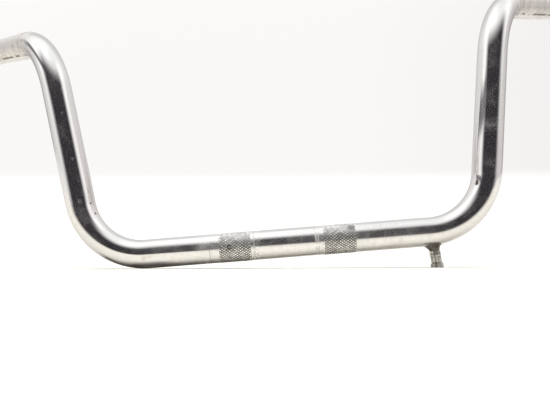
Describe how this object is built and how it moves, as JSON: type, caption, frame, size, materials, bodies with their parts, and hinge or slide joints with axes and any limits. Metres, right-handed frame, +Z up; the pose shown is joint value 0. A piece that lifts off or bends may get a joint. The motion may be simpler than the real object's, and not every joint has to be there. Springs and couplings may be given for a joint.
{
  "type": "motorcycle handlebar",
  "caption": "Bent round steel tube with upright risers and swept-back grip ends, knurled clamp bands in the middle and a short cable outlet below one lower bend.",
  "frame": {"origin": "on the tube's axis, half way along the straight clamp section between the two knurled bands", "axes": "+X along the clamp section to the rider's left, +Y backwards to the rider, +Z up in the plane of the risers"},
  "size_m": [0.753, 0.1835, 0.3118],
  "materials": {
    "bar_chrome": "worn mirror chrome with fine pitting",
    "knurl_chrome": "diamond knurl, chromed and rubbed",
    "braze_metal": "rough and darkened",
    "outlet_steel": "dull and dirty"
  },
  "bodies": {
    "root": {"handlebar_tube": "bar_chrome", "clamp_knurl_left": "knurl_chrome", "clamp_knurl_right": "knurl_chrome", "outlet_braze": "braze_metal", "outlet_tube": "outlet_steel", "outlet_sleeve": "outlet_steel", "outlet_ferrule": "outlet_steel"}
  },
  "joints": []
}
